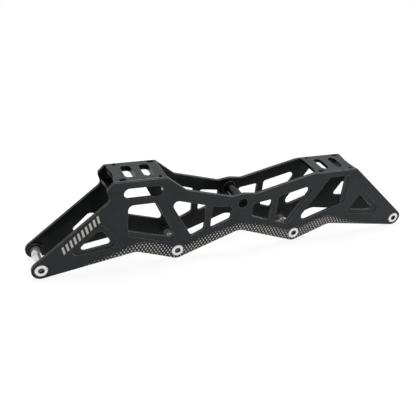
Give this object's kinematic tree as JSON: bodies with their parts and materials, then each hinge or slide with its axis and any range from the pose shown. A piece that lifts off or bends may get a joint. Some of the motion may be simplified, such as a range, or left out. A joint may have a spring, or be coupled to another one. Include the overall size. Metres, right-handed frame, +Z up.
{
  "type": "inline skate frame",
  "caption": "Black machined inline skate frame with a raised heel deck, a lower toe deck, slotted boot mounts, lightened walls and axles that pull out sideways.",
  "frame": {"origin": "middle of the wheelbase, in the frame's middle plane, level with the undersides of the axle bosses", "axes": "+X towards the toe, +Y towards the sleeve side of the axles, +Z up towards the boot"},
  "size_m": [0.3504, 0.0328, 0.0782],
  "materials": {
    "black_anodised": "satin black anodised",
    "axle_silver": "turned and polished",
    "brace_black": "gloss black anodised",
    "screw_black": "black oxide"
  },
  "bodies": {
    "frame": {"frame_body": "black_anodised", "brace_spacer": "brace_black", "brace_screw_left": "screw_black", "brace_screw_right": "screw_black"},
    "axle_bolt_1": {"axle_bolt_1": "axle_silver"},
    "axle_bolt_2": {"axle_bolt_2": "axle_silver"},
    "axle_bolt_3": {"axle_bolt_3": "axle_silver"},
    "axle_bolt_4": {"axle_bolt_4": "axle_silver"},
    "axle_sleeve_1": {"axle_sleeve_1": "axle_silver"},
    "axle_sleeve_2": {"axle_sleeve_2": "axle_silver"},
    "axle_sleeve_3": {"axle_sleeve_3": "axle_silver"},
    "axle_sleeve_4": {"axle_sleeve_4": "axle_silver"}
  },
  "joints": [
    {"name": "axle_bolt_1_slide", "type": "slide", "parent": "frame", "child": "axle_bolt_1", "axis": [0, -1, 0], "range_m": [0, 0.026]},
    {"name": "axle_sleeve_1_slide", "type": "slide", "parent": "frame", "child": "axle_sleeve_1", "axis": [0, 1, 0], "range_m": [0, 0.009]},
    {"name": "axle_bolt_2_slide", "type": "slide", "parent": "frame", "child": "axle_bolt_2", "axis": [0, -1, 0], "range_m": [0, 0.026]},
    {"name": "axle_sleeve_2_slide", "type": "slide", "parent": "frame", "child": "axle_sleeve_2", "axis": [0, 1, 0], "range_m": [0, 0.009]},
    {"name": "axle_bolt_3_slide", "type": "slide", "parent": "frame", "child": "axle_bolt_3", "axis": [0, -1, 0], "range_m": [0, 0.026]},
    {"name": "axle_sleeve_3_slide", "type": "slide", "parent": "frame", "child": "axle_sleeve_3", "axis": [0, 1, 0], "range_m": [0, 0.009]},
    {"name": "axle_bolt_4_slide", "type": "slide", "parent": "frame", "child": "axle_bolt_4", "axis": [0, -1, 0], "range_m": [0, 0.026]},
    {"name": "axle_sleeve_4_slide", "type": "slide", "parent": "frame", "child": "axle_sleeve_4", "axis": [0, 1, 0], "range_m": [0, 0.009]}
  ]
}
